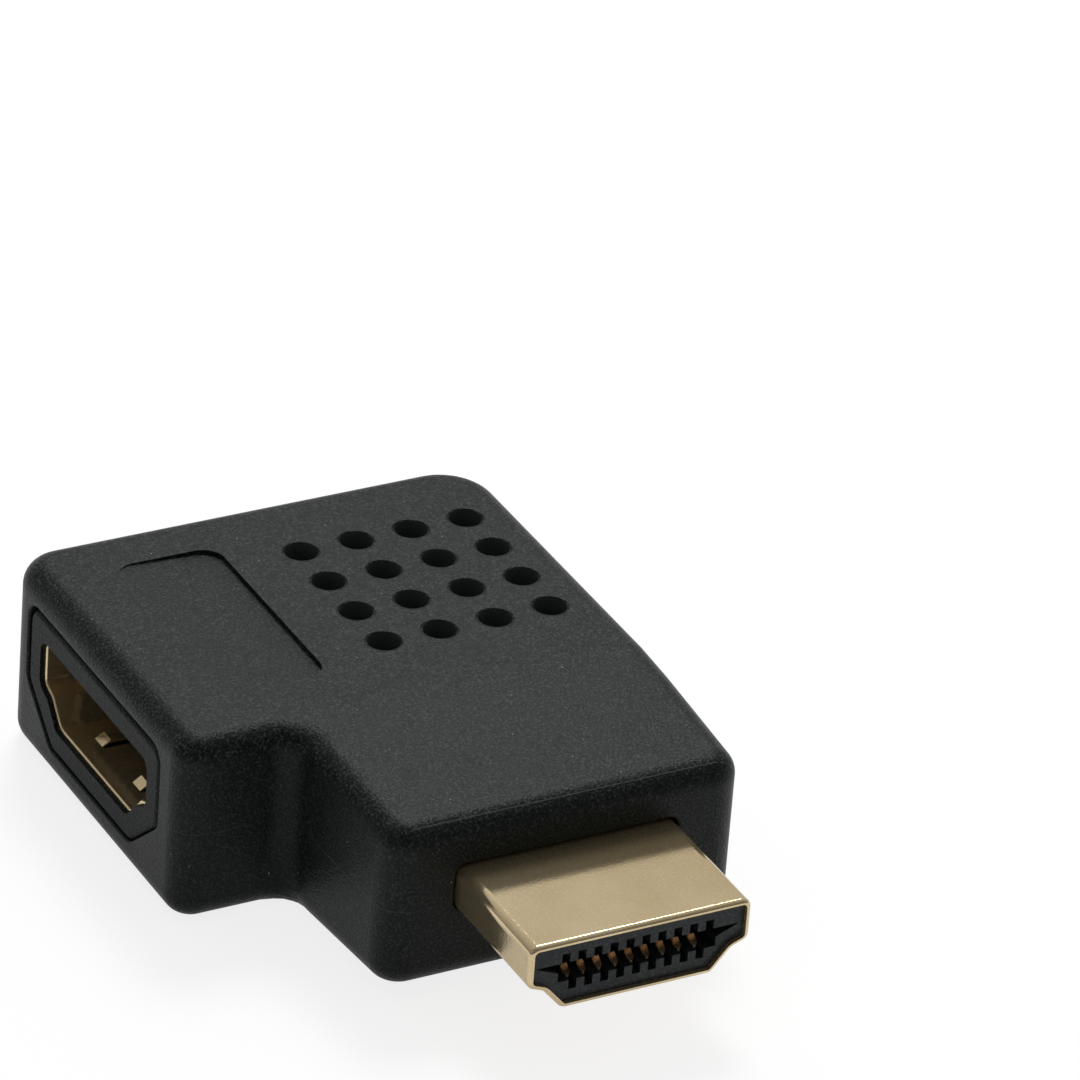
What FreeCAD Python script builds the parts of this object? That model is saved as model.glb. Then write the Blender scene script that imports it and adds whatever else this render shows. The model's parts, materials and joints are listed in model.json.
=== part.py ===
"""Right angle digital video adapter: a plug on one side, a socket round the corner.

Frame, in millimetres: the origin lies on the plug's axis, in the face of the housing that the
plug stands out of. The plug points along -Y, the socket opens towards -X, +Z is up, and both
connectors lie on the plane Z = 0, half way up the housing.
"""
import FreeCAD, Part
import os
import re
import Sketcher
from FreeCAD import Placement, Rotation, Vector

# Driving sizes, in millimetres and whole counts
SIZES = (
    # housing, in plan
    ("socket_reach", 18.5),
    ("side_reach", 11.5),
    ("nose_half_width", 11.2),
    ("taper_clearance", 0.4),
    ("slope_lead", 1.1),
    ("step_depth", 11.5),
    ("body_depth", 35.0),
    ("nose_corner", 1.9),
    ("step_corner", 1.5),
    ("socket_near_corner", 1.7),
    ("socket_far_corner", 2.5),
    ("back_corner", 3.5),
    # housing, in height
    ("body_height", 11.9),
    ("nose_drop", 0.8),
    ("top_edge_round", 1.5),
    ("bottom_edge_round", 1.4),
    # blind vent holes in the top
    ("vent_columns", 4),
    ("vent_rows", 4),
    ("vent_pitch", 3.58),
    ("vent_diameter", 2.0),
    ("vent_depth", 2.4),
    ("vent_offset", 2.55),
    # label recess in the top, deepest at its edge beside the vents
    ("label_edge", 7.25),
    ("label_width", 6.6),
    ("label_length", 15.1),
    ("label_offset", 0.2),
    ("label_depth", 0.3),
    ("label_shallow_depth", 0.05),
    ("label_corner", 1.3),
    # mating profile of the plug, a D with its wide side up
    ("plug_width", 13.9),
    ("plug_height", 4.45),
    ("plug_side", 2.65),
    ("plug_shoulder_in", 1.05),
    ("plug_shoulder_drop", 0.39),
    ("plug_flat", 9.38),
    ("profile_corner", 0.6),
    ("profile_neck", 0.8),
    # plug
    ("plug_reach", 8.75),
    ("plug_root", 4.0),
    ("plug_wall", 0.3),
    ("plug_rim_round", 0.28),
    ("plug_slot_gap", 0.12),
    ("plug_slot_rise", 0.1),
    ("plug_slot_lip", 0.15),
    ("plug_face_setback", 0.3),
    ("plug_insulator_root", 3.0),
    ("slot_depth", 7.2),
    ("slot_height", 1.2),
    ("slot_top_width", 12.8),
    ("slot_bottom_width", 9.9),
    ("slot_point_drop", 0.6),
    ("groove_width", 0.5),
    ("groove_depth", 0.6),
    # socket
    ("mating_gap", 0.05),
    ("socket_wall", 0.3),
    ("socket_mouth_setback", 0.35),
    ("socket_rim_round", 0.12),
    ("socket_depth", 9.0),
    ("socket_block", 1.5),
    ("tongue_setback", 2.15),
    ("tongue_height", 1.0),
    ("tongue_top_width", 10.3),
    ("tongue_bottom_width", 10.0),
    ("shell_gap", 0.1),
    ("finger_spacing", 5.1),
    ("finger_width", 1.0),
    ("finger_thickness", 0.2),
    ("finger_rise", 0.35),
    ("finger_tip_setback", 1.4),
    ("finger_tip_run", 0.55),
    ("finger_length", 5.0),
    ("finger_window_gap", 0.2),
    # bezel round the socket's mouth
    ("bezel_width", 17.4),
    ("bezel_margin", 2.0),
    ("bezel_side", 4.9),
    ("bezel_flat", 10.6),
    ("bezel_depth", 1.4),
    ("bezel_corner", 1.0),
    ("bezel_edge_round", 0.35),
    ("bezel_setback", 0.05),
    ("bezel_rim_shown", 0.2),
    ("bezel_gap", 0.15),
    ("aperture_rise", 0.1),
    ("aperture_lip", 0.15),
    # contacts
    ("contact_pitch", 1.0),
    ("wide_row_count", 10),
    ("narrow_row_count", 9),
    ("contact_width", 0.45),
    ("contact_thickness", 0.2),
    ("contact_tip_setback", 0.6),
    ("contact_tip_bevel", 0.15),
    ("contact_tip_run", 0.6),
    ("contact_bump_run", 1.2),
    ("contact_bump", 0.4),
    ("contact_bend", 0.6),
    ("contact_tail", 2.0),
    ("contact_front_setback", 0.5),
    ("insulator_fit", 0.02),
    # circuit board and the cavity that holds it
    ("board_thickness", 0.6),
    ("board_half_width", 6.0),
    ("board_socket_half_width", 6.0),
    ("cavity_height", 2.4),
)
NAMES = {name for name, number in SIZES}

doc = FreeCAD.newDocument("RightAngleAdapter")


# Sizes and expressions
def fill_sheet():
    """Puts the driving sizes in a spreadsheet, each cell with its own alias."""
    sheet = doc.addObject("Spreadsheet::Sheet", "Sizes")
    for row, (name, number) in enumerate(SIZES, 1):
        sheet.set(f"A{row}", name)
        sheet.set(f"B{row}", str(number))
        sheet.setAlias(f"B{row}", name)
    doc.recompute()
    return sheet


sheet = fill_sheet()


def bound(text):
    """Writes a formula of size names as an expression on the spreadsheet."""
    return re.sub(r"[a-z][a-z_]*", lambda m: "Sizes." + m.group() if m.group() in NAMES else m.group(), text)


def size(text):
    """The present value of a formula of size names."""
    return float(sheet.evalExpression(bound(text)))


# Formulas that several pieces share
TAPER_END = "(step_depth - step_corner - taper_clearance)"
SLOPE_START = "(step_depth + slope_lead)"
PLUG_TIP = "plug_reach"
PLUG_FACE = "(plug_reach - plug_face_setback)"
SLOT_END = "(plug_reach - plug_face_setback - slot_depth)"
BLADE = "(slot_height / 2 + contact_thickness)"
SOCKET_AXIS = "((step_depth + body_depth) / 2)"
BEZEL_FACE = "(socket_reach - bezel_setback)"
BEZEL_TOP = "(body_height / 2 - bezel_margin)"
SOCKET_MOUTH = "(socket_reach - socket_mouth_setback)"
TONGUE_FRONT = "(socket_reach - socket_mouth_setback - tongue_setback)"
BLOCK_FRONT = "(socket_reach - socket_mouth_setback - socket_depth)"
BLOCK_REAR = "(socket_reach - socket_mouth_setback - socket_depth - socket_block)"
TAIL_LEVEL = "(board_thickness / 2 + contact_thickness / 2)"

# Ways that the solids run
TO_PLUG_MOUTH = Vector(0, -1, 0)
INTO_SOCKET = Vector(1, 0, 0)


# Sketches
FACING = {
    "XY": Rotation(),
    "XZ": Rotation(Vector(1, 0, 0), 90),
    "YZ": Rotation(Vector(1, 1, 1), 120),
}


def body_sketch(body, plane, name, level="0"):
    """A sketch on one of the body's own origin planes, moved along its normal to a level."""
    sketch = body.newObject("Sketcher::SketchObject", name)
    support = [f for f in body.Origin.OriginFeatures if f.Role == plane + "_Plane"][0]
    sketch.AttachmentSupport = (support, [""])
    sketch.MapMode = "FlatFace"
    sketch.setExpression("AttachmentOffset.Base.z", bound(level))
    return sketch


def free_sketch(plane, name, origin=("0", "0", "0")):
    """A sketch that stands by itself, parallel to an origin plane, through a given point."""
    sketch = doc.addObject("Sketcher::SketchObject", name)
    sketch.Placement = Placement(Vector(*(size(text) for text in origin)), FACING[plane])
    for axis, text in zip("xyz", origin):
        sketch.setExpression("Placement.Base." + axis, bound(text))
    return sketch


def pin_point(sketch, line, end, spot):
    """Fixes one end of a line, or a circle's centre, at a spot given by two formulas."""
    for kind, text in zip(("DistanceX", "DistanceY"), spot):
        index = sketch.addConstraint(Sketcher.Constraint(kind, -1, 1, line, end, size(text)))
        sketch.setExpression(f"Constraints[{index}]", bound(text))


def add_outline(sketch, corners):
    """Draws a closed outline of straight lines through the corners, every corner pinned."""
    spots = [Vector(size(across), size(up), 0) for across, up in corners]
    first = sketch.GeometryCount
    count = len(spots)
    sketch.addGeometry([Part.LineSegment(spots[i], spots[(i + 1) % count]) for i in range(count)])
    for i, corner in enumerate(corners):
        following = first + (i + 1) % count
        sketch.addConstraint(Sketcher.Constraint("Coincident", first + i, 2, following, 1))
        pin_point(sketch, first + i, 1, corner)


def add_circle(sketch, centre, diameter):
    """Draws a circle with its centre and diameter tied to the sizes."""
    spot = Vector(size(centre[0]), size(centre[1]), 0)
    index = sketch.addGeometry(Part.Circle(spot, Vector(0, 0, 1), size(diameter) / 2))
    pin_point(sketch, index, 3, centre)
    last = sketch.addConstraint(Sketcher.Constraint("Diameter", index, size(diameter)))
    sketch.setExpression(f"Constraints[{last}]", bound(diameter))


def mirrored(half):
    """Closes a half outline, given from the top downwards at positive X, with its mirror image."""
    return half + [(f"-({across})", up) for across, up in reversed(half)]


# Features
def add_pad(body, sketch, length, symmetric=False, reverse=False):
    """Adds a pad of the sketch."""
    pad = body.newObject("PartDesign::Pad", sketch.Name + "_pad")
    pad.Profile = sketch
    pad.SideType = "Symmetric" if symmetric else "One side"
    pad.Reversed = reverse
    pad.setExpression("Length", bound(length))
    doc.recompute()
    return pad


def add_pocket(body, sketch, length, symmetric=False, reverse=False):
    """Cuts a pocket of the sketch, and checks that it takes material away."""
    before = body.Shape.Volume
    pocket = body.newObject("PartDesign::Pocket", sketch.Name + "_pocket")
    pocket.Profile = sketch
    pocket.SideType = "Symmetric" if symmetric else "One side"
    pocket.Reversed = reverse
    pocket.setExpression("Length", bound(length))
    doc.recompute()
    if body.Shape.Volume >= before:
        raise RuntimeError(pocket.Name + " cuts nothing")
    return pocket


def edge_names(shape, wanted):
    """Names of the edges that pass a test."""
    return [f"Edge{i}" for i, edge in enumerate(shape.Edges, 1) if wanted(edge)]


def round_edges(body, name, wanted, radius):
    """Rounds the body's edges that pass a test."""
    base = body.Tip
    fillet = body.newObject("PartDesign::Fillet", name)
    fillet.Base = (base, edge_names(base.Shape, wanted))
    fillet.setExpression("Radius", bound(radius))
    doc.recompute()
    return fillet


def bevel_edges(body, name, wanted, width):
    """Bevels the body's edges that pass a test."""
    base = body.Tip
    bevel = body.newObject("PartDesign::Chamfer", name)
    bevel.Base = (base, edge_names(base.Shape, wanted))
    bevel.setExpression("Size", bound(width))
    doc.recompute()
    return bevel


def round_ends(source, label, radius_at):
    """Rounds edges of a Part solid: a function gives each edge the name of its radius, or nothing."""
    doc.recompute()
    fillet = doc.addObject("Part::Fillet", label)
    fillet.Base = source
    edges = []
    for i, edge in enumerate(source.Shape.Edges, 1):
        radius = radius_at(edge)
        if radius:
            edges.append((i, size(radius), size(radius)))
    fillet.Edges = edges
    doc.recompute()
    return fillet


def is_level(edge, axis, text):
    """True for an edge that lies whole in the plane where an axis has the given value."""
    level = size(text)
    box = edge.BoundBox
    low, high = getattr(box, axis + "Min"), getattr(box, axis + "Max")
    return abs(low - level) < 0.01 and abs(high - level) < 0.01


def is_rim(edge, axis, level, across, centre, half_width, half_height):
    """True for an edge in a plane that reaches no further than given from the centre of an opening."""
    box = edge.BoundBox
    ends = (getattr(box, across + "Min"), getattr(box, across + "Max"))
    wide = max(abs(end - size(centre)) for end in ends)
    high = max(abs(box.ZMin), abs(box.ZMax))
    inside = wide < size(half_width) + 0.01 and high < size(half_height) + 0.01
    return is_level(edge, axis, level) and inside


def is_upright(edge, across, along):
    """True for a straight edge parallel to Z that stands at the given place."""
    box = edge.BoundBox
    spot = Vector(size(across), size(along), 0)
    centre = Vector(box.Center.x, box.Center.y, 0)
    thin = box.XLength < 0.01 and box.YLength < 0.01
    return thin and box.ZLength > 0.01 and centre.distanceToPoint(spot) < 0.01


def cut_away(base, tools, label):
    """Cuts a list of tools from a solid."""
    tool = tools[0]
    if len(tools) > 1:
        tool = doc.addObject("Part::MultiFuse", label + "_tools")
        tool.Shapes = tools
    cut = doc.addObject("Part::Cut", label)
    cut.Base = base
    cut.Tool = tool
    return cut


def box_at(label, lengths, corner):
    """A box with its lengths and its lowest corner tied to the sizes."""
    box = doc.addObject("Part::Box", label)
    for side, text in zip(("Length", "Width", "Height"), lengths):
        box.setExpression(side, bound(text))
    for axis, text in zip("xyz", corner):
        box.setExpression("Placement.Base." + axis, bound(text))
    return box


# The mating profile
def dee_core(plane, name, origin, grow="0"):
    """The D profile shrunk by its corner radius, from which every wall is an even offset.

    Growing it by the corner radius gives the plug's outer surface with rounded corners.
    """
    top = "plug_height / 2"
    half = [
        ("plug_width / 2", top),
        ("plug_width / 2", "plug_height / 2 - plug_side"),
        ("plug_width / 2 - plug_shoulder_in", "plug_height / 2 - plug_side - plug_shoulder_drop"),
        ("plug_flat / 2", "-plug_height / 2"),
    ]
    sketch = free_sketch(plane, name, origin)
    add_outline(sketch, mirrored(half))
    wide = offset_of(sketch, name + "_wide", "profile_neck", "Intersection")
    return offset_of(wide, name + "_core", f"{grow} - profile_neck - profile_corner", "Arc")


def offset_of(source, name, distance, join="Arc"):
    """An outline moved outwards by a distance, or inwards where it is negative."""
    outline = doc.addObject("Part::Offset2D", name)
    outline.Source = source
    outline.Join = join
    outline.setExpression("Value", bound(distance))
    return outline


def run_out(outline, name, length, way):
    """A solid that runs from its outline the given way."""
    solid = doc.addObject("Part::Extrusion", name)
    solid.Base = outline
    solid.DirMode = "Custom"
    solid.Dir = way
    solid.Solid = True
    solid.setExpression("LengthFwd", bound(length))
    return solid


def row_places(count):
    """Formulas for the places across a row of contacts, centred on the connector."""
    return [f"({k} - ({count} - 1) / 2) * contact_pitch" for k in range(int(size(count)))]


def contact_places():
    """Side (1 above, -1 below) and place of each contact: the wide row above, the narrow one below."""
    above = [(1, place) for place in row_places("wide_row_count")]
    below = [(-1, place) for place in row_places("narrow_row_count")]
    return above + below


# Housing
def housing_blank():
    """The moulding without its pockets: stepped plan, sloping nose, rounded corners and edges."""
    body = doc.addObject("PartDesign::Body", "housing_blank")
    plan = body_sketch(body, "XY", "plan")
    add_outline(plan, [
        ("-nose_half_width", "0"),
        ("nose_half_width", "0"),
        ("side_reach", TAPER_END),
        ("side_reach", "body_depth"),
        ("-socket_reach", "body_depth"),
        ("-socket_reach", "step_depth"),
        ("-side_reach", "step_depth"),
        ("-side_reach", TAPER_END),
    ])
    add_pad(body, plan, "body_height", symmetric=True)

    for side, name in ((1, "nose_top"), (-1, "nose_bottom")):
        slope = body_sketch(body, "YZ", name)
        level = f"{side} * body_height / 2"
        add_outline(slope, [
            (SLOPE_START, level),
            (f"-{SLOPE_START}", level),
            (f"-{SLOPE_START}", f"{side} * (body_height / 2 - 2 * nose_drop)"),
        ])
        add_pocket(body, slope, "4 * side_reach", symmetric=True)

    corners = (
        ("nose_corner", [("-nose_half_width", "0"), ("nose_half_width", "0")]),
        ("step_corner", [("-side_reach", "step_depth")]),
        ("socket_near_corner", [("-socket_reach", "step_depth")]),
        ("socket_far_corner", [("-socket_reach", "body_depth")]),
        ("back_corner", [("side_reach", "body_depth")]),
    )
    for radius, spots in corners:
        def on_corner(edge):
            return any(is_upright(edge, *spot) for spot in spots)
        round_edges(body, radius + "_round", on_corner, radius)

    half = size("body_height / 2")
    drop = size("nose_drop")
    for side, radius in ((1, "top_edge_round"), (-1, "bottom_edge_round")):
        def on_rim(edge):
            box = edge.BoundBox
            low, high = sorted((side * box.ZMin, side * box.ZMax))
            inside = is_level(edge, "Y", SLOPE_START)
            return low > half - drop - 0.05 and high < half + 0.01 and not inside
        round_edges(body, radius + "_fillet", on_rim, radius)
    return body


def cut_vents(body):
    """Blind round holes in a square grid."""
    vents = body_sketch(body, "XY", "vents", "body_height / 2")
    for column in range(int(size("vent_columns"))):
        for row in range(int(size("vent_rows"))):
            across = f"vent_offset + ({column} - (vent_columns - 1) / 2) * vent_pitch"
            along = f"{SOCKET_AXIS} + ({row} - (vent_rows - 1) / 2) * vent_pitch"
            add_circle(vents, (across, along), "vent_diameter")
    add_pocket(body, vents, "vent_depth")


def cut_label_recess(body):
    """A shallow bay with rounded corners, whose floor rises away from the vents."""
    ramp = body_sketch(body, "XZ", "label_ramp", f"-({SOCKET_AXIS} + label_offset)")
    add_outline(ramp, [
        ("-label_edge - label_width", "body_height / 2 - label_shallow_depth"),
        ("-label_edge", "body_height / 2 - label_depth"),
        ("-label_edge", "body_height / 2 + label_depth"),
        ("-label_edge - label_width", "body_height / 2 + label_depth"),
    ])
    add_pocket(body, ramp, "label_length", symmetric=True)
    middle = f"{SOCKET_AXIS} + label_offset"
    spots = [
        (across, f"{middle} {sign} label_length / 2")
        for across in ("-label_edge", "-label_edge - label_width") for sign in "+-"
    ]

    def is_corner(edge):
        return any(is_upright(edge, *spot) for spot in spots)
    round_edges(body, "label_corners", is_corner, "label_corner")


def cut_board_cavity(body):
    """The closed space, half way up, that holds the circuit board by its edges."""
    cavity = body_sketch(body, "XY", "cavity")
    add_outline(cavity, board_corners("plug_root"))
    add_pocket(body, cavity, "cavity_height", symmetric=True)


def build_housing(plug_core, socket_core, bezel_core):
    """The black moulding with everything that is cut into it."""
    body = housing_blank()
    cut_vents(body)
    cut_label_recess(body)
    cut_board_cavity(body)

    plug_hole = run_out(
        offset_of(plug_core, "plug_hole_outline", "profile_corner + plug_slot_gap"),
        "plug_hole", "plug_root + top_edge_round", TO_PLUG_MOUTH)
    plug_hole.setExpression("Placement.Base.z", bound("plug_slot_rise"))
    socket_hole = run_out(
        offset_of(socket_core, "socket_hole_outline", "profile_corner + socket_wall + shell_gap"),
        "socket_hole", f"{SOCKET_MOUTH} - {BLOCK_REAR}", INTO_SOCKET)
    aperture = run_out(
        offset_of(bezel_core, "aperture_outline", "bezel_corner + bezel_gap"),
        "aperture", "bezel_depth", INTO_SOCKET)
    aperture.setExpression("LengthRev", bound("bezel_setback"))
    aperture.setExpression("Placement.Base.z", bound("aperture_rise"))
    pierced = cut_away(body, [plug_hole, socket_hole, aperture], "housing_pierced")

    def lip_radius(edge):
        if is_rim(edge, "Y", "0", "X", "0",
                  "plug_width / 2 + plug_slot_gap", "plug_height / 2 + plug_slot_gap + plug_slot_rise"):
            return "plug_slot_lip"
        if is_rim(edge, "X", "-socket_reach", "Y", SOCKET_AXIS,
                  "bezel_width / 2 + bezel_gap", f"{BEZEL_TOP} + bezel_gap + aperture_rise"):
            return "aperture_lip"
        return None
    return round_ends(pierced, "housing", lip_radius)


# Bezel
def bezel_outline():
    """The bezel's outline shrunk by its corner radius: a D like the socket's, with cut lower corners."""
    sketch = free_sketch("YZ", "bezel_profile", (f"-{BEZEL_FACE}", SOCKET_AXIS, "0"))
    add_outline(sketch, mirrored([
        ("bezel_width / 2", BEZEL_TOP),
        ("bezel_width / 2", f"{BEZEL_TOP} - bezel_side"),
        ("bezel_flat / 2", "-" + BEZEL_TOP),
    ]))
    return offset_of(sketch, "bezel_core", "-bezel_corner", "Intersection")


def build_bezel(bezel_core, socket_core):
    """The frame round the socket's mouth, let into the housing, with a seat for the metal shell."""
    blank = run_out(
        offset_of(bezel_core, "bezel_outer_outline", "bezel_corner"),
        "bezel_blank", "bezel_depth", INTO_SOCKET)
    face = f"-{BEZEL_FACE}"
    rounded = round_ends(
        blank, "bezel_rounded", lambda edge: is_level(edge, "X", face) and "bezel_edge_round")
    opening = run_out(
        offset_of(socket_core, "bezel_opening_outline", "profile_corner + bezel_rim_shown"),
        "bezel_opening", "bezel_depth", INTO_SOCKET)
    opening.setExpression("LengthRev", bound("socket_mouth_setback"))
    seat = run_out(
        offset_of(socket_core, "bezel_seat_outline", "profile_corner + socket_wall"),
        "bezel_seat", "bezel_depth", INTO_SOCKET)
    return cut_away(rounded, [opening, seat], "socket_bezel")


# Plug
def build_plug_shell(core):
    """The drawn metal tube of the plug, with a rounded mouth."""
    length = "plug_reach + plug_root"
    blank = run_out(
        offset_of(core, "plug_outer_outline", "profile_corner"), "plug_blank", length, TO_PLUG_MOUTH)
    outer = round_ends(
        blank, "plug_outer", lambda edge: is_level(edge, "Y", "-" + PLUG_TIP) and "plug_rim_round")
    inner = run_out(
        offset_of(core, "plug_inner_outline", "profile_corner - plug_wall"),
        "plug_inner", length, TO_PLUG_MOUTH)
    return cut_away(outer, [inner], "plug_shell")


def build_plug_insulator(core):
    """The black block in the plug: a slot with pointed ends, and a groove for each contact."""
    profile = offset_of(core, "plug_insulator_outline", "profile_corner - plug_wall - insulator_fit")
    block = run_out(
        profile, "plug_insulator_blank", f"{PLUG_FACE} + plug_insulator_root", TO_PLUG_MOUTH)
    block.setExpression("Placement.Base.y", bound("plug_insulator_root - plug_root"))

    slot_sketch = free_sketch("XZ", "slot_outline", ("0", f"-{SLOT_END}", "0"))
    add_outline(slot_sketch, mirrored([
        ("slot_top_width / 2", "slot_height / 2"),
        ("slot_bottom_width / 2", "slot_height / 2 - slot_point_drop"),
        ("slot_bottom_width / 2", "-slot_height / 2"),
    ]))
    tools = [run_out(slot_sketch, "slot", "slot_depth + plug_face_setback", TO_PLUG_MOUTH)]
    for k, (side, place) in enumerate(contact_places(), 1):
        low = "0" if side > 0 else "-(slot_height / 2 + groove_depth)"
        tools.append(box_at(
            f"plug_groove_{k}",
            ("groove_width", "slot_depth + plug_face_setback", "slot_height / 2 + groove_depth"),
            (f"{place} - groove_width / 2", f"-{PLUG_TIP}", low)))
        level = f"{side} * {BLADE} - contact_thickness / 2"
        tools.append(box_at(
            f"plug_passage_{k}",
            ("contact_width", f"{SLOT_END} + plug_insulator_root", "contact_thickness"),
            (f"{place} - contact_width / 2", f"-{SLOT_END}", level)))
    return cut_away(block, tools, "plug_insulator")


def strip_outline(stations, side):
    """The side view of a bent strip: its middle line, thickened up and down by half its thickness."""
    def edge(sign):
        return [(along, f"{side} * ({up}) + {sign} * contact_thickness / 2") for along, up in stations]
    return edge(1) + edge(-1)[::-1]


def build_plug_contact(number, side, place):
    """One spring contact: a narrowed, curled tip in its groove, a straight blade and a tail on the board."""
    body = doc.addObject("PartDesign::Body", f"plug_contact_{number:02d}")
    tip = f"-({PLUG_FACE} - contact_tip_setback)"
    stations = [
        (tip, BLADE),
        (f"{tip} + contact_tip_run", f"{BLADE} - contact_bump"),
        (f"{tip} + contact_tip_run + contact_bump_run", BLADE),
        ("plug_insulator_root", BLADE),
        ("plug_insulator_root + contact_bend", TAIL_LEVEL),
        ("plug_insulator_root + contact_tail", TAIL_LEVEL),
    ]
    profile = body_sketch(body, "YZ", f"plug_strip_{number:02d}")
    add_outline(profile, strip_outline(stations, side))
    add_pad(body, profile, "contact_width", symmetric=True)

    def is_tip_edge(edge):
        return any(is_upright(edge, f"{sign} * contact_width / 2", tip) for sign in (1, -1))
    bevel_edges(body, f"plug_tip_{number:02d}", is_tip_edge, "contact_tip_bevel")
    body.setExpression("Placement.Base.x", bound(place))
    return body


# Socket
def build_socket_shell(core):
    """The folded metal shell of the socket, with two spring fingers cut from its floor."""
    length = f"{SOCKET_MOUTH} - {BLOCK_REAR}"
    outer = run_out(
        offset_of(core, "socket_outer_outline", "profile_corner + socket_wall"),
        "socket_outer", length, INTO_SOCKET)
    inner = run_out(
        offset_of(core, "socket_inner_outline", "profile_corner"), "socket_inner", length, INTO_SOCKET)
    floor = "(plug_height / 2 + mating_gap)"
    tip = f"({SOCKET_MOUTH} - finger_tip_setback)"
    windows, fingers = [], []
    for side, name in ((-1, "near"), (1, "far")):
        middle = f"{SOCKET_AXIS} + {side} * finger_spacing / 2"
        windows.append(box_at(
            f"{name}_finger_window",
            ("finger_length", "finger_width + 2 * finger_window_gap", "3 * socket_wall"),
            (f"-{tip}", f"{middle} - finger_width / 2 - finger_window_gap", f"-{floor} - 2 * socket_wall")))
        fingers.append(build_finger(name, middle, floor, tip))
    tube = cut_away(outer, [inner] + windows, "socket_tube")

    def lead_in(edge):
        inside = is_rim(edge, "X", "-" + SOCKET_MOUTH, "Y", SOCKET_AXIS, "plug_width / 2 + mating_gap", floor)
        return inside and "socket_rim_round"
    shell = doc.addObject("Part::MultiFuse", "socket_shell")
    shell.Shapes = [round_ends(tube, "socket_tube_rounded", lead_in)] + fingers
    return shell


def build_finger(name, middle, floor, tip):
    """One spring finger: rooted at the deep end of its window, arched up, its tip back at the floor."""
    side_view = free_sketch("XZ", f"{name}_finger_outline", ("0", f"{middle} + finger_width / 2", "0"))
    upper = [
        (f"-{tip}", f"-{floor}"),
        (f"-{tip} + finger_tip_run", f"-{floor} + finger_rise"),
        (f"-{tip} + 2 * finger_tip_run", f"-{floor} + finger_rise"),
        (f"-{tip} + finger_length", f"-{floor}"),
    ]
    lower = [(along, f"{up} - finger_thickness") for along, up in upper]
    add_outline(side_view, upper + lower[::-1])
    return run_out(side_view, f"{name}_finger", "finger_width", TO_PLUG_MOUTH)


def build_socket_insulator(core):
    """The black block at the back of the socket, with the tongue that carries the contacts."""
    profile = offset_of(core, "socket_insulator_outline", "profile_corner - insulator_fit")
    block = run_out(profile, "socket_block_blank", "socket_block", INTO_SOCKET)
    block.setExpression("Placement.Base.x", bound("socket_depth"))

    tongue_sketch = free_sketch("YZ", "tongue_outline", (f"-{TONGUE_FRONT}", SOCKET_AXIS, "0"))
    add_outline(tongue_sketch, mirrored([
        ("tongue_top_width / 2", "tongue_height / 2"),
        ("tongue_bottom_width / 2", "-tongue_height / 2"),
    ]))
    tongue = run_out(tongue_sketch, "tongue", f"{TONGUE_FRONT} - {BLOCK_FRONT}", INTO_SOCKET)
    blank = doc.addObject("Part::MultiFuse", "socket_insulator_blank")
    blank.Shapes = [block, tongue]
    tools = []
    for k, (side, place) in enumerate(contact_places(), 1):
        low = f"{side} * {TAIL_LEVEL} - contact_thickness / 2"
        tools.append(box_at(
            f"tongue_groove_{k}",
            (f"{TONGUE_FRONT} - {BLOCK_REAR}", "contact_width", "contact_thickness"),
            (f"-{TONGUE_FRONT}", f"{SOCKET_AXIS} + {place} - contact_width / 2", low)))
    return cut_away(blank, tools, "socket_insulator")


def build_socket_contact(number, side, place):
    """One flat contact: from near the tongue's front, through the block and onto the board."""
    body = doc.addObject("PartDesign::Body", f"socket_contact_{number:02d}")
    profile = body_sketch(body, "XZ", f"socket_strip_{number:02d}")
    stations = [
        (f"-{TONGUE_FRONT} + contact_front_setback", TAIL_LEVEL),
        (f"-{BLOCK_REAR} + contact_tail", TAIL_LEVEL),
    ]
    add_outline(profile, strip_outline(stations, side))
    add_pad(body, profile, "contact_width", symmetric=True)
    body.setExpression("Placement.Base.y", bound(f"{SOCKET_AXIS} + {place}"))
    return body


# Circuit board
def board_corners(front):
    """The board's outline: a leg to the plug and a leg to the socket, from a given front edge."""
    near = f"{SOCKET_AXIS} - board_socket_half_width"
    far = f"{SOCKET_AXIS} + board_socket_half_width"
    return [
        ("-board_half_width", front),
        ("board_half_width", front),
        ("board_half_width", far),
        (f"-{BLOCK_REAR}", far),
        (f"-{BLOCK_REAR}", near),
        ("-board_half_width", near),
    ]


def build_board():
    """The board that carries the lines round the corner."""
    body = doc.addObject("PartDesign::Body", "circuit_board")
    plan = body_sketch(body, "XY", "board_plan")
    add_outline(plan, board_corners("plug_insulator_root"))
    add_pad(body, plan, "board_thickness", symmetric=True)
    return body


def build_parts():
    """Every piece of the adapter."""
    plug_core = dee_core("XZ", "plug_profile", ("0", "plug_root", "0"))
    socket_core = dee_core(
        "YZ", "socket_profile", (f"-{SOCKET_MOUTH}", SOCKET_AXIS, "0"), grow="mating_gap")
    bezel_core = bezel_outline()
    parts = [
        build_housing(plug_core, socket_core, bezel_core),
        build_bezel(bezel_core, socket_core),
        build_plug_shell(plug_core),
        build_plug_insulator(plug_core),
        build_socket_shell(socket_core),
        build_socket_insulator(socket_core),
        build_board(),
    ]
    for number, (side, place) in enumerate(contact_places(), 1):
        parts.append(build_plug_contact(number, side, place))
        parts.append(build_socket_contact(number, side, place))
    return parts


def check_and_export(parts):
    """Refuses a failed object or a bad shape, then writes one file for each piece."""
    doc.recompute()
    for item in doc.Objects:
        if "Invalid" in item.State or "Error" in item.State:
            raise RuntimeError(f"{item.Name} failed: {item.State}")
    for part in parts:
        shape = part.Shape
        if shape.isNull() or not shape.isValid() or len(shape.Solids) != 1:
            raise RuntimeError(f"{part.Label} has a bad shape")
    os.makedirs("parts", exist_ok=True)
    for part in parts:
        part.Shape.exportStep(f"parts/{part.Label}.step")


check_and_export(build_parts())
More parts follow.
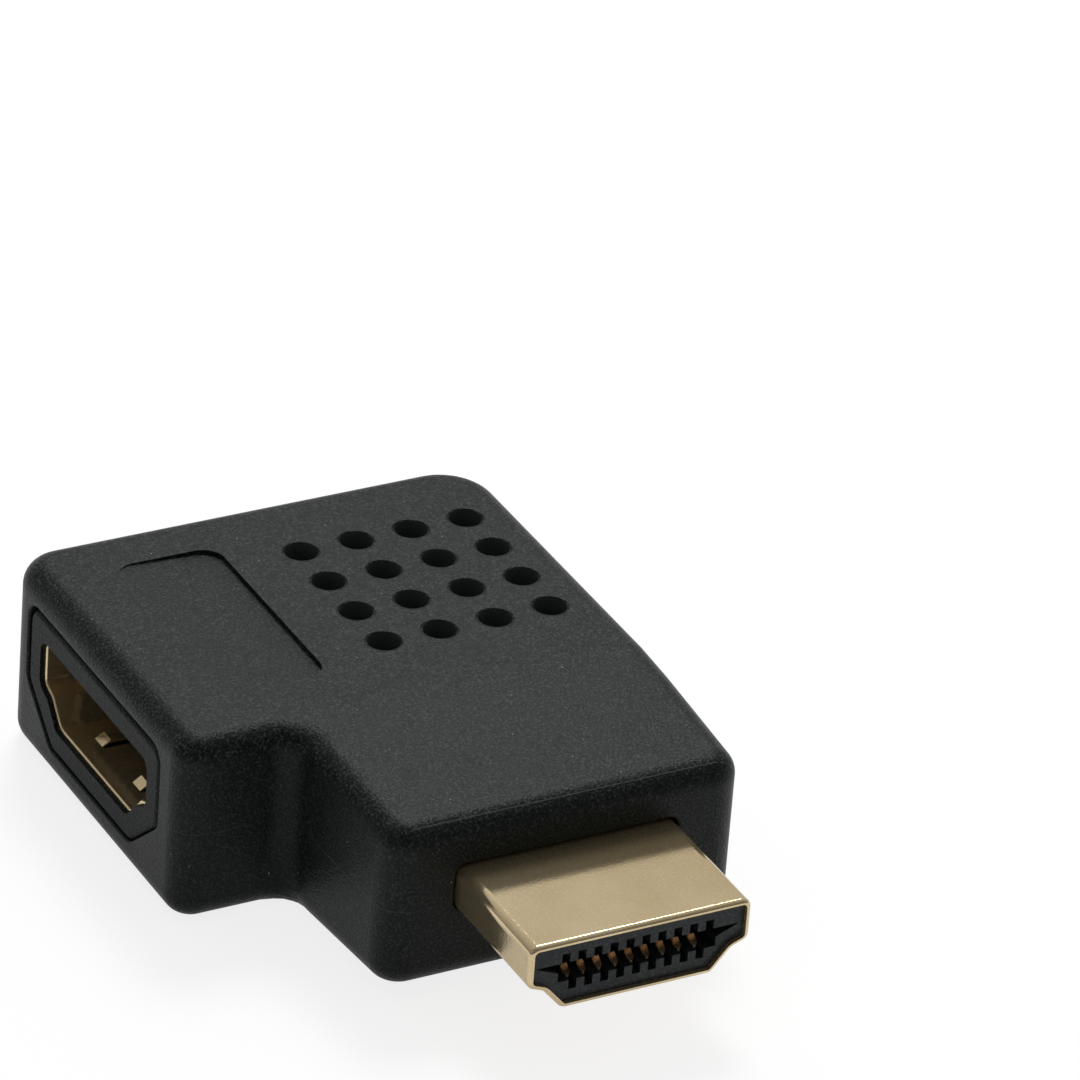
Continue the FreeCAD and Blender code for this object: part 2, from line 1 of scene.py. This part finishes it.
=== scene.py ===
"""Looks of the right angle digital video adapter: finishes, moulding marks, floor, light, camera.

Lengths are in metres, in the frame of the part: the plug points along -Y, the socket opens
towards -X, +Z is up, and both connectors lie on the plane Z = 0.
"""
import json
import math
import bpy
from mathutils import Euler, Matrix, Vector


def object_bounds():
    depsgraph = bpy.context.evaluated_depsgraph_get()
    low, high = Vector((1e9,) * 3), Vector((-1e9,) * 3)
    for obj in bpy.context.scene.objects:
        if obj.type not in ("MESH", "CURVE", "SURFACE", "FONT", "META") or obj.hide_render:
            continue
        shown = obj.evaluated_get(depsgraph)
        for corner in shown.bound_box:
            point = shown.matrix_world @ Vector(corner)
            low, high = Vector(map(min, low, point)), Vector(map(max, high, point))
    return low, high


MM = 0.001

# Camera, as worked out from the corners of the housing and the plug in the photograph
CAMERA_PLACE = (-0.189334, -0.323669, 0.240744)
CAMERA_TURN_DEGREES = (59.630066, -3.834966, -27.635632)
CAMERA_LENS_MM = 265.168
CAMERA_SENSOR_MM = 36.0
CAMERA_NEAREST = 0.02
CAMERA_FURTHEST = 20.0

# Floor and background
FLOOR_HALF_SIZE = 3.0
FLOOR_CLEARANCE = 0.02 * MM
FLOOR_COLOUR = (0.90, 0.90, 0.90, 1.0)
FLOOR_GLOW_SHARE = 0.72
FLOOR_MIRROR_SHARE = 0.45
FLOOR_GLOW = 1.14
WHITE = (1.0, 1.0, 1.0, 1.0)

# Lamps: each one's way from the middle of the part, the side of its square and its power
BEHIND_WAY = (0.18, 0.31, 0.51)
BEHIND_SIZE = 0.2
BEHIND_WATTS = 1.75
LEFT_WAY = (-0.60, -0.05, 0.30)
LEFT_SIZE = 0.3
LEFT_WATTS = 0.08

# Sky: bright behind the object, where its top mirrors it, and dim on the camera's side
BRIGHT_WAY = (0.40, 0.66, 0.63)
BRIGHT_STARTS = 0.05
BRIGHT_FULL = 0.95
SKY_DIM = 0.17
SKY_BRIGHT = 0.61

# Moulding marks, in the frame of the part
VENT_CENTRE = (2.55 * MM, 23.25 * MM)
VENT_PITCH = 3.58 * MM
VENT_COUNT = 4
VENT_RADIUS = 1.0 * MM
VENT_LIP = 0.14 * MM
VENT_FLOOR = 3.5 * MM
VENT_WALL_MARGIN = 0.01 * MM
TOP_FACE = 5.95 * MM
LINE_CORE_SHARE = 0.5
LINE_RIDGE = 0.03 * MM
PARTING_HEIGHT = 0.0
PARTING_HALF_WIDTH = 0.04 * MM
PARTING_STRENGTH = 0.6
PARTING_WEAR = 9 * MM
PARTING_WORN_FROM = 0.45
PARTING_WORN_TO = 0.6
FRONT_LINE_Y = 0.71 * MM
FRONT_LINE_HALF_WIDTH = 0.035 * MM
FRONT_LINE_HALF_LENGTH = 9.6 * MM
FRONT_LINE_LOWEST = 4.2 * MM

# Grain, flow blotches and dust of the plastic; levels are values of the noise, from 0 to 1
GRAIN_SPOT = 0.15 * MM
GRAIN_ON_SIDES = 0.6
GRAIN_FULL_ABOVE = 5.0 * MM
GRAIN_FADE = 0.5 * MM
PEAK_FROM = 0.52
PEAK_TO = 0.70
PIT_FROM = 0.50
PIT_TO = 0.36
SWELL_RATIO = 3.5
SWELL_DEPTH_SHARE = 0.2
FLOW_BLOTCH = 6 * MM
FLOW_FROM = 0.35
FLOW_TO = 0.65
DUST_SPACING = 1.5 * MM
DUST_RADIUS = 0.06 * MM
DUST_CORE_SHARE = 0.6

# Blotches, haze and roughness of the plating; levels as above
PLATING_BLOTCH = 5 * MM
PLATING_FROM = 0.35
PLATING_TO = 0.7
HAZE_FROM = 0.52
HAZE_TO = 0.75
HAZE_STRENGTH = 0.35
ROUGHNESS_FROM = 0.3
ROUGHNESS_TO = 0.7
ROUGHNESS_SPREAD = 0.03

# Weave of the board
WEAVE_PITCH = 0.5 * MM
WEAVE_DEPTH = 0.01 * MM
LAMINATE_ROUGHNESS = 0.35

# Sockets of a Mix node that mixes colours
MIX_FIRST = 6
MIX_SECOND = 7
MIX_RESULT = 2

# Colours, as linear red, green, blue
HOUSING_BLACK = (0.0095, 0.0130, 0.0120, 1.0)
HOUSING_WORN = (0.0120, 0.0160, 0.0145, 1.0)
BEZEL_BLACK = (0.0080, 0.0100, 0.0095, 1.0)
BEZEL_WORN = (0.0100, 0.0125, 0.0120, 1.0)
GRAIN_PIT = (0.0030, 0.0045, 0.0042, 1.0)
GRAIN_PEAK = (0.0560, 0.0600, 0.0590, 1.0)
# Painted light: the walls inside the vent holes are coloured lighter, standing in for light reaching into
# them
VENT_WALL_PAINTED_LIGHT = (0.0550, 0.0680, 0.0620, 1.0)
INSULATOR_BLACK = (0.0100, 0.0130, 0.0165, 1.0)
INSULATOR_WORN = (0.0150, 0.0190, 0.0230, 1.0)
DUST_GREY = (0.30, 0.31, 0.30, 1.0)
# Painted highlight: the parting line and the line on the front rounding are coloured lighter, as if
# catching light
LINE_PAINTED_HIGHLIGHT = (0.075, 0.080, 0.080, 1.0)
GOLD = (0.755, 0.605, 0.365, 1.0)
GOLD_SHADED = (0.66, 0.51, 0.285, 1.0)
GOLD_HAZE = (0.86, 0.78, 0.62, 1.0)
GOLD_METAL_SHARE = 0.84
CONTACT_GOLD = (0.50, 0.34, 0.20, 1.0)
CONTACT_GOLD_SHADED = (0.16, 0.10, 0.055, 1.0)
LAMINATE_GREEN = (0.015, 0.075, 0.035, 1.0)
LAMINATE_DARK = (0.010, 0.045, 0.022, 1.0)


def add_node(tree, kind, **settings):
    """A shader node; a setting names a property of the node, or one of its inputs."""
    node = tree.nodes.new(kind)
    for name, value in settings.items():
        if hasattr(node, name):
            setattr(node, name, value)
        else:
            node.inputs[name.replace("_", " ")].default_value = value
    return node


def empty_material(name):
    """A material with a Principled shader and nothing else; gives its tree and the shader."""
    material = bpy.data.materials.new(name)
    material.use_nodes = True
    tree = material.node_tree
    tree.nodes.clear()
    output = tree.nodes.new("ShaderNodeOutputMaterial")
    shader = tree.nodes.new("ShaderNodeBsdfPrincipled")
    tree.links.new(shader.outputs["BSDF"], output.inputs["Surface"])
    return material, tree, shader


def noise(tree, feature, detail=2.0, roughness=0.5):
    """A noise over the part's own coordinates whose blotches are about as wide as the feature."""
    place = add_node(tree, "ShaderNodeTexCoord")
    texture = add_node(tree, "ShaderNodeTexNoise", Scale=1.0 / feature, Detail=detail, Roughness=roughness)
    tree.links.new(place.outputs["Object"], texture.inputs["Vector"])
    return texture.outputs["Fac"]


def remap(tree, value, low, high, to_low=0.0, to_high=1.0):
    """Spreads the stretch of a value from low to high over another range, cut off at its ends."""
    node = add_node(tree, "ShaderNodeMapRange")
    node.inputs["From Min"].default_value = low
    node.inputs["From Max"].default_value = high
    node.inputs["To Min"].default_value = to_low
    node.inputs["To Max"].default_value = to_high
    tree.links.new(value, node.inputs["Value"])
    return node.outputs["Result"]


def mix_colours(tree, share, first, second):
    """The first colour where the share is 0 and the second where it is 1."""
    node = add_node(tree, "ShaderNodeMix", data_type="RGBA")
    tree.links.new(share, node.inputs["Factor"])
    for socket, colour in ((node.inputs[MIX_FIRST], first), (node.inputs[MIX_SECOND], second)):
        if isinstance(colour, tuple):
            socket.default_value = colour
        else:
            tree.links.new(colour, socket)
    return node.outputs[MIX_RESULT]


def add_bump(tree, shader, layers):
    """Chains bumps into the shader's normal; each layer is a height and its depth in metres."""
    normal = None
    for height, depth in layers:
        bump = add_node(tree, "ShaderNodeBump", Strength=1.0, Distance=depth)
        tree.links.new(height, bump.inputs["Height"])
        if normal:
            tree.links.new(normal, bump.inputs["Normal"])
        normal = bump.outputs["Normal"]
    tree.links.new(normal, shader.inputs["Normal"])


def compute(tree, operation, *values):
    """A math node on numbers or on the outputs of other nodes."""
    node = add_node(tree, "ShaderNodeMath", operation=operation)
    for socket, value in zip(node.inputs, values):
        if isinstance(value, (int, float)):
            socket.default_value = value
        else:
            tree.links.new(value, socket)
    return node.outputs[0]


def part_place(tree):
    """The place on the part along X, Y and Z, in metres."""
    place = add_node(tree, "ShaderNodeTexCoord")
    split = add_node(tree, "ShaderNodeSeparateXYZ")
    tree.links.new(place.outputs["Object"], split.inputs[0])
    return split.outputs


def band(tree, value, middle, half_width):
    """1 on a line where a value equals the middle, falling to 0 at the half width to its sides."""
    away = compute(tree, "ABSOLUTE", compute(tree, "SUBTRACT", value, middle))
    return remap(tree, away, LINE_CORE_SHARE * half_width, half_width, 1.0, 0.0)


def dust_specks(tree):
    """Tiny round specks, one in each cell of a random lattice; few of them lie in the surface."""
    place = add_node(tree, "ShaderNodeTexCoord")
    cells = add_node(tree, "ShaderNodeTexVoronoi", Scale=1.0 / DUST_SPACING)
    tree.links.new(place.outputs["Object"], cells.inputs["Vector"])
    edge = DUST_RADIUS / DUST_SPACING
    return remap(tree, cells.outputs["Distance"], DUST_CORE_SHARE * edge, edge, 1.0, 0.0)


def vent_marks(tree):
    """Two masks: the lips of the vent holes, 0 at each rim and 1 outside, and the holes' walls, which get
    painted light.
    """
    along_x, along_y, along_z = part_place(tree)
    wrapped, inside = [], compute(tree, "GREATER_THAN", along_z, VENT_FLOOR)
    for value, centre in ((along_x, VENT_CENTRE[0]), (along_y, VENT_CENTRE[1])):
        shifted = compute(tree, "SUBTRACT", value, centre - VENT_PITCH * (VENT_COUNT - 1) / 2)
        wrapped.append(compute(tree, "WRAP", shifted, VENT_PITCH / 2, -VENT_PITCH / 2))
        away = compute(tree, "ABSOLUTE", compute(tree, "SUBTRACT", value, centre))
        within = compute(tree, "LESS_THAN", away, VENT_PITCH * VENT_COUNT / 2)
        inside = compute(tree, "MULTIPLY", inside, within)
    squares = [compute(tree, "MULTIPLY", value, value) for value in wrapped]
    distance = compute(tree, "SQRT", compute(tree, "ADD", *squares))
    sunk = remap(tree, distance, VENT_RADIUS, VENT_RADIUS + VENT_LIP, 1.0, 0.0)
    lips = compute(tree, "SUBTRACT", 1.0, compute(tree, "MULTIPLY", sunk, inside))
    under = compute(tree, "LESS_THAN", along_z, TOP_FACE - VENT_WALL_MARGIN)
    hollow = compute(tree, "LESS_THAN", distance, VENT_RADIUS + VENT_WALL_MARGIN)
    vent_walls_painted_light = compute(tree, "MULTIPLY", compute(tree, "MULTIPLY", under, hollow), inside)
    return lips, vent_walls_painted_light


def moulding_lines(tree):
    """The parting line half way up the sides, worn in places, and the line on the front rounding; the mask
    bumps their ridges and carries their painted highlight.
    """
    along_x, along_y, along_z = part_place(tree)
    worn = remap(tree, noise(tree, PARTING_WEAR, detail=1.0), PARTING_WORN_FROM, PARTING_WORN_TO)
    parting = band(tree, along_z, PARTING_HEIGHT, PARTING_HALF_WIDTH)
    parting = compute(tree, "MULTIPLY", parting, worn)
    line = band(tree, along_y, FRONT_LINE_Y, FRONT_LINE_HALF_WIDTH)
    line = compute(tree, "MULTIPLY", line, compute(tree, "GREATER_THAN", along_z, FRONT_LINE_LOWEST))
    across = compute(tree, "ABSOLUTE", along_x)
    line = compute(tree, "MULTIPLY", line, compute(tree, "LESS_THAN", across, FRONT_LINE_HALF_LENGTH))
    return compute(tree, "MAXIMUM", compute(tree, "MULTIPLY", parting, PARTING_STRENGTH), line)


def moulded_plastic(name, dark, light, roughness, specular, grain, grain_depth, marks=False):
    """Black moulded plastic with a spark-eroded grain, faint flow blotches and a little dust; with marks,
    also a painted highlight on the moulding lines and painted light on the vent walls.
    """
    material, tree, shader = empty_material(name)
    blotches = remap(tree, noise(tree, FLOW_BLOTCH, detail=3.0), FLOW_FROM, FLOW_TO)
    fine = noise(tree, grain, roughness=0.6)
    colour = mix_colours(tree, blotches, dark, light)
    spots = noise(tree, GRAIN_SPOT, detail=1.0)
    along_z = part_place(tree)[2]
    fade_from = GRAIN_FULL_ABOVE - GRAIN_FADE
    level = remap(tree, along_z, fade_from, GRAIN_FULL_ABOVE, GRAIN_ON_SIDES, 1.0)
    peaks = compute(tree, "MULTIPLY", remap(tree, spots, PEAK_FROM, PEAK_TO), level)
    pits = compute(tree, "MULTIPLY", remap(tree, spots, PIT_FROM, PIT_TO), level)
    colour = mix_colours(tree, pits, colour, GRAIN_PIT)
    colour = mix_colours(tree, peaks, colour, GRAIN_PEAK)
    swell = noise(tree, SWELL_RATIO * grain)
    layers = [(fine, grain_depth), (swell, SWELL_DEPTH_SHARE * grain_depth)]
    if marks:
        lines_and_highlight = moulding_lines(tree)
        lips, vent_walls_painted_light = vent_marks(tree)
        # Painted highlight on the moulding lines; their small ridges are also bumped below
        colour = mix_colours(tree, lines_and_highlight, colour, LINE_PAINTED_HIGHLIGHT)
        # Painted light on the vent holes' walls, lifting their shade
        colour = mix_colours(tree, vent_walls_painted_light, colour, VENT_WALL_PAINTED_LIGHT)
        colour = mix_colours(tree, dust_specks(tree), colour, DUST_GREY)
        layers = [(lips, VENT_LIP), (lines_and_highlight, LINE_RIDGE)] + layers
    tree.links.new(colour, shader.inputs["Base Color"])
    shader.inputs["Roughness"].default_value = roughness
    shader.inputs["Specular IOR Level"].default_value = specular
    add_bump(tree, shader, layers)
    return material


def plated_metal(name, light, shaded, roughness, grain, grain_depth):
    """Gold plating over stamped sheet, with soft blotches and a fine grain."""
    material, tree, shader = empty_material(name)
    blotches = remap(tree, noise(tree, PLATING_BLOTCH), PLATING_FROM, PLATING_TO)
    colour = mix_colours(tree, blotches, light, shaded)
    haze = remap(tree, noise(tree, GRAIN_SPOT, detail=1.0), HAZE_FROM, HAZE_TO)
    haze = compute(tree, "MULTIPLY", haze, HAZE_STRENGTH)
    colour = mix_colours(tree, haze, colour, GOLD_HAZE)
    tree.links.new(colour, shader.inputs["Base Color"])
    shader.inputs["Metallic"].default_value = GOLD_METAL_SHARE
    fine = noise(tree, grain, detail=3.0, roughness=0.6)
    smoothest, roughest = roughness - ROUGHNESS_SPREAD, roughness + ROUGHNESS_SPREAD
    rough = remap(tree, fine, ROUGHNESS_FROM, ROUGHNESS_TO, smoothest, roughest)
    tree.links.new(rough, shader.inputs["Roughness"])
    add_bump(tree, shader, ((fine, grain_depth),))
    return material


def board_laminate(name):
    """Green board with the fine square weave of its glass cloth."""
    material, tree, shader = empty_material(name)
    place = add_node(tree, "ShaderNodeTexCoord")
    weave = add_node(tree, "ShaderNodeTexBrick", Scale=1.0 / WEAVE_PITCH)
    tree.links.new(place.outputs["Object"], weave.inputs["Vector"])
    colour = mix_colours(tree, weave.outputs["Fac"], LAMINATE_GREEN, LAMINATE_DARK)
    tree.links.new(colour, shader.inputs["Base Color"])
    shader.inputs["Roughness"].default_value = LAMINATE_ROUGHNESS
    add_bump(tree, shader, ((weave.outputs["Fac"], WEAVE_DEPTH),))
    return material


def make_finishes():
    """The finish for each material slot of the record."""
    return {
        "housing_plastic": moulded_plastic(
            "housing_plastic_finish", HOUSING_BLACK, HOUSING_WORN,
            roughness=0.36, specular=0.12, grain=0.14 * MM, grain_depth=0.05 * MM, marks=True),
        "bezel_plastic": moulded_plastic(
            "bezel_plastic_finish", BEZEL_BLACK, BEZEL_WORN,
            roughness=0.5, specular=0.1, grain=0.14 * MM, grain_depth=0.06 * MM),
        "insulator_plastic": moulded_plastic(
            "insulator_plastic_finish", INSULATOR_BLACK, INSULATOR_WORN,
            roughness=0.4, specular=0.3, grain=0.1 * MM, grain_depth=0.004 * MM),
        "gold_plate": plated_metal(
            "gold_plate_finish", GOLD, GOLD_SHADED,
            roughness=0.10, grain=0.16 * MM, grain_depth=0.004 * MM),
        "contact_gold": plated_metal(
            "contact_gold_finish", CONTACT_GOLD, CONTACT_GOLD_SHADED,
            roughness=0.2, grain=0.1 * MM, grain_depth=0.001 * MM),
        "board_laminate": board_laminate("board_laminate_finish"),
    }


def dress_nodes(finishes):
    """Gives each node of the frame the finish of its material slot."""
    for subpart in frame["record"]["subparts"]:
        node = frame["nodes"][subpart["node"]]
        for slot in node.material_slots:
            slot.material = finishes[subpart["material_slot"]]


def make_floor(level):
    """A plain pale floor that the camera sees nearly white, with the object's shadow on it."""
    half = FLOOR_HALF_SIZE
    mesh = bpy.data.meshes.new("floor")
    corners = [(-half, -half, level), (half, -half, level), (half, half, level), (-half, half, level)]
    mesh.from_pydata(corners, [], [(0, 1, 2, 3)])
    floor = bpy.data.objects.new("floor", mesh)
    bpy.context.scene.collection.objects.link(floor)
    material = bpy.data.materials.new("floor_paper")
    material.use_nodes = True
    tree = material.node_tree
    tree.nodes.clear()
    output = add_node(tree, "ShaderNodeOutputMaterial")
    paper = add_node(tree, "ShaderNodeBsdfDiffuse", Color=FLOOR_COLOUR)
    glow = add_node(tree, "ShaderNodeEmission", Color=WHITE, Strength=FLOOR_GLOW)
    path = add_node(tree, "ShaderNodeLightPath")
    seen = compute(tree, "MULTIPLY", path.outputs["Is Camera Ray"], FLOOR_GLOW_SHARE)
    mirrored = compute(tree, "MULTIPLY", path.outputs["Is Glossy Ray"], FLOOR_MIRROR_SHARE)
    mix = add_node(tree, "ShaderNodeMixShader")
    tree.links.new(compute(tree, "MAXIMUM", seen, mirrored), mix.inputs["Fac"])
    tree.links.new(paper.outputs[0], mix.inputs[1])
    tree.links.new(glow.outputs[0], mix.inputs[2])
    tree.links.new(mix.outputs[0], output.inputs["Surface"])
    mesh.materials.append(material)


def make_sky():
    """A soft studio sky, brightest behind the object; the camera itself sees it white."""
    world = bpy.data.worlds.new("studio")
    bpy.context.scene.world = world
    world.use_nodes = True
    tree = world.node_tree
    tree.nodes.clear()
    output = add_node(tree, "ShaderNodeOutputWorld")
    soft = add_node(tree, "ShaderNodeBackground", Color=WHITE)
    white = add_node(tree, "ShaderNodeBackground", Color=WHITE, Strength=1.0)
    way = add_node(tree, "ShaderNodeTexCoord")
    towards = add_node(tree, "ShaderNodeVectorMath", operation="DOT_PRODUCT")
    towards.inputs[1].default_value = BRIGHT_WAY
    tree.links.new(way.outputs["Generated"], towards.inputs[0])
    strength = remap(tree, towards.outputs["Value"], BRIGHT_STARTS, BRIGHT_FULL, SKY_DIM, SKY_BRIGHT)
    tree.links.new(strength, soft.inputs["Strength"])
    path = add_node(tree, "ShaderNodeLightPath")
    mix = add_node(tree, "ShaderNodeMixShader")
    tree.links.new(path.outputs["Is Camera Ray"], mix.inputs["Fac"])
    tree.links.new(soft.outputs[0], mix.inputs[1])
    tree.links.new(white.outputs[0], mix.inputs[2])
    tree.links.new(mix.outputs[0], output.inputs["Surface"])


def make_lamp(name, place, target, size, watts):
    """A square soft box at a place, turned towards a target."""
    lamp = bpy.data.lights.new(name, "AREA")
    lamp.shape = "SQUARE"
    lamp.size = size
    lamp.energy = watts
    holder = bpy.data.objects.new(name, lamp)
    holder.location = place
    holder.rotation_euler = (Vector(target) - Vector(place)).to_track_quat("-Z", "Y").to_euler()
    bpy.context.scene.collection.objects.link(holder)


def make_lamps(middle):
    """A soft box high behind the object, and a weak one at the left to lift the socket's side."""
    behind, left = middle + Vector(BEHIND_WAY), middle + Vector(LEFT_WAY)
    make_lamp("soft_box_behind", behind, middle, BEHIND_SIZE, BEHIND_WATTS)
    make_lamp("soft_box_left", left, middle, LEFT_SIZE, LEFT_WATTS)


def make_camera():
    """The camera stands where the photograph was taken from."""
    data = bpy.data.cameras.new("camera")
    data.lens = CAMERA_LENS_MM
    data.sensor_width = CAMERA_SENSOR_MM
    data.clip_start = CAMERA_NEAREST
    data.clip_end = CAMERA_FURTHEST
    camera = bpy.data.objects.new("camera", data)
    camera.location = CAMERA_PLACE
    camera.rotation_euler = Euler([math.radians(turn) for turn in CAMERA_TURN_DEGREES], "XYZ")
    bpy.context.scene.collection.objects.link(camera)
    bpy.context.scene.camera = camera


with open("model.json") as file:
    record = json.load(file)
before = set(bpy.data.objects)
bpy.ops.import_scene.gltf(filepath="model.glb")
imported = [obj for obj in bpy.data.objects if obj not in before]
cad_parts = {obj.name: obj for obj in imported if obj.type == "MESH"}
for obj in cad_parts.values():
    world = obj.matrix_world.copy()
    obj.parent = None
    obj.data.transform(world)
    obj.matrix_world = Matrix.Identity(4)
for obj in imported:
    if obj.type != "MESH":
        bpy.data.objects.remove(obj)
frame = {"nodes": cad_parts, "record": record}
cad_low, cad_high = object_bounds()

bpy.context.scene.view_settings.view_transform = "Standard"
dress_nodes(make_finishes())
make_floor(cad_low[2] - FLOOR_CLEARANCE)
make_sky()
make_lamps((Vector(cad_low) + Vector(cad_high)) / 2)
make_camera()
